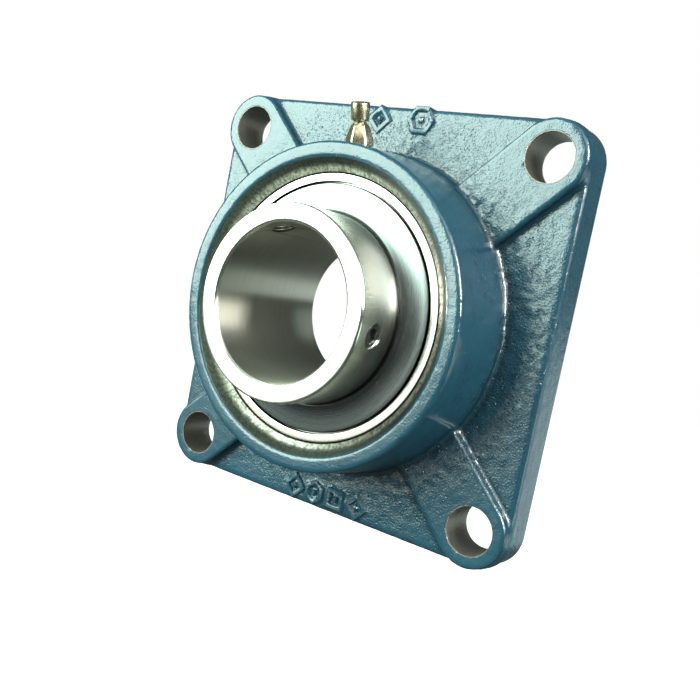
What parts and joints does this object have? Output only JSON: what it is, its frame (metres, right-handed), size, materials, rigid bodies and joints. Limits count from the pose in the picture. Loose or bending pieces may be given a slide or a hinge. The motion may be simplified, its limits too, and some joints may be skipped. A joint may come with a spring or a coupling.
{
  "type": "flange mount bearing",
  "caption": "Square flange bearing unit: cast housing with raised diagonal arms, self-aligning ball insert, extended ring with set screws and a grease nipple.",
  "frame": {"origin": "where the bore axis meets the mounting face", "axes": "-Y along the bore axis towards the nose of the hub, +Z towards the grease nipple, +X to the right when the nose is seen from the front"},
  "size_m": [0.174, 0.0687, 0.174],
  "materials": {
    "painted_cast_iron": "glossy teal blue enamel over rough cast iron",
    "nipple_brass": "yellow plated, bright",
    "bearing_steel": "polished hard steel",
    "spring_steel": "drawn wire",
    "ground_ring_steel": "circumferentially ground hard steel",
    "pressed_steel": "pressed sheet steel",
    "seal_rubber": "black nitrile rubber",
    "polished_slinger_steel": "bright pressed steel",
    "black_screw_steel": "dark oiled screw steel"
  },
  "bodies": {
    "flange": {"housing": "painted_cast_iron", "grease_nipple_body": "nipple_brass", "nipple_spring": "spring_steel"},
    "outer_race": {"outer_ring": "ground_ring_steel", "seal_plate_front": "pressed_steel", "seal_lip_front": "seal_rubber", "seal_plate_rear": "pressed_steel", "seal_lip_rear": "seal_rubber"},
    "shaft_race": {"inner_ring": "ground_ring_steel", "slinger_front": "polished_slinger_steel", "slinger_rear": "polished_slinger_steel"},
    "ball_cage": {"cage_front": "pressed_steel", "cage_rear": "pressed_steel", "cage_rivets": "pressed_steel"},
    "check_ball": {"nipple_check_ball": "bearing_steel"},
    "screw_a": {"setscrew_a": "black_screw_steel"},
    "screw_b": {"setscrew_b": "black_screw_steel"},
    "ball_01_body": {"ball_01": "bearing_steel"},
    "ball_02_body": {"ball_02": "bearing_steel"},
    "ball_03_body": {"ball_03": "bearing_steel"},
    "ball_04_body": {"ball_04": "bearing_steel"},
    "ball_05_body": {"ball_05": "bearing_steel"},
    "ball_06_body": {"ball_06": "bearing_steel"},
    "ball_07_body": {"ball_07": "bearing_steel"},
    "ball_08_body": {"ball_08": "bearing_steel"},
    "ball_09_body": {"ball_09": "bearing_steel"},
    "ball_10_body": {"ball_10": "bearing_steel"}
  },
  "joints": [
    {"name": "self_align", "type": "hinge", "parent": "flange", "child": "outer_race", "pos_m": [0, -0.029, 0], "axis": [1, 0, 0], "range_deg": [-2, 2]},
    {"name": "shaft_spin", "type": "hinge", "parent": "outer_race", "child": "shaft_race", "pos_m": [0, -0.029, 0], "axis": [0, 1, 0], "continuous": true},
    {"name": "cage_spin", "type": "hinge", "parent": "outer_race", "child": "ball_cage", "pos_m": [0, -0.029, 0], "axis": [0, 1, 0], "continuous": true},
    {"name": "ball_01_roll", "type": "hinge", "parent": "ball_cage", "child": "ball_01_body", "pos_m": [0, -0.029, 0.0425], "axis": [0, 1, 0], "continuous": true},
    {"name": "ball_02_roll", "type": "hinge", "parent": "ball_cage", "child": "ball_02_body", "pos_m": [-0.02498, -0.029, 0.03438], "axis": [0, 1, 0], "continuous": true},
    {"name": "ball_03_roll", "type": "hinge", "parent": "ball_cage", "child": "ball_03_body", "pos_m": [-0.04042, -0.029, 0.01313], "axis": [0, 1, 0], "continuous": true},
    {"name": "ball_04_roll", "type": "hinge", "parent": "ball_cage", "child": "ball_04_body", "pos_m": [-0.04042, -0.029, -0.01313], "axis": [0, 1, 0], "continuous": true},
    {"name": "ball_05_roll", "type": "hinge", "parent": "ball_cage", "child": "ball_05_body", "pos_m": [-0.02498, -0.029, -0.03438], "axis": [0, 1, 0], "continuous": true},
    {"name": "ball_06_roll", "type": "hinge", "parent": "ball_cage", "child": "ball_06_body", "pos_m": [0, -0.029, -0.0425], "axis": [0, 1, 0], "continuous": true},
    {"name": "ball_07_roll", "type": "hinge", "parent": "ball_cage", "child": "ball_07_body", "pos_m": [0.02498, -0.029, -0.03438], "axis": [0, 1, 0], "continuous": true},
    {"name": "ball_08_roll", "type": "hinge", "parent": "ball_cage", "child": "ball_08_body", "pos_m": [0.04042, -0.029, -0.01313], "axis": [0, 1, 0], "continuous": true},
    {"name": "ball_09_roll", "type": "hinge", "parent": "ball_cage", "child": "ball_09_body", "pos_m": [0.04042, -0.029, 0.01313], "axis": [0, 1, 0], "continuous": true},
    {"name": "ball_10_roll", "type": "hinge", "parent": "ball_cage", "child": "ball_10_body", "pos_m": [0.02498, -0.029, 0.03438], "axis": [0, 1, 0], "continuous": true},
    {"name": "check_ball_lift", "type": "slide", "parent": "flange", "child": "check_ball", "axis": [0, 0.2924, -0.9563], "range_m": [0, 0.0012], "stiffness_N_per_m": 300, "deforming": ["nipple_spring"]},
    {"name": "setscrew_a_advance", "type": "slide", "parent": "shaft_race", "child": "screw_a", "axis": [-0.9925, 0, 0.1219], "range_m": [-0.003, 0.0019]},
    {"name": "setscrew_b_advance", "type": "slide", "parent": "shaft_race", "child": "screw_b", "axis": [0.3907, 0, -0.9205], "range_m": [-0.003, 0.0019]}
  ],
  "couplings": [
    {"joint": "cage_spin", "follows": "shaft_spin", "ratio": 0.40662},
    {"joint": "ball_01_roll", "follows": "shaft_spin", "ratio": -2.5838},
    {"joint": "ball_02_roll", "follows": "shaft_spin", "ratio": -2.5838},
    {"joint": "ball_03_roll", "follows": "shaft_spin", "ratio": -2.5838},
    {"joint": "ball_04_roll", "follows": "shaft_spin", "ratio": -2.5838},
    {"joint": "ball_05_roll", "follows": "shaft_spin", "ratio": -2.5838},
    {"joint": "ball_06_roll", "follows": "shaft_spin", "ratio": -2.5838},
    {"joint": "ball_07_roll", "follows": "shaft_spin", "ratio": -2.5838},
    {"joint": "ball_08_roll", "follows": "shaft_spin", "ratio": -2.5838},
    {"joint": "ball_09_roll", "follows": "shaft_spin", "ratio": -2.5838},
    {"joint": "ball_10_roll", "follows": "shaft_spin", "ratio": -2.5838}
  ]
}
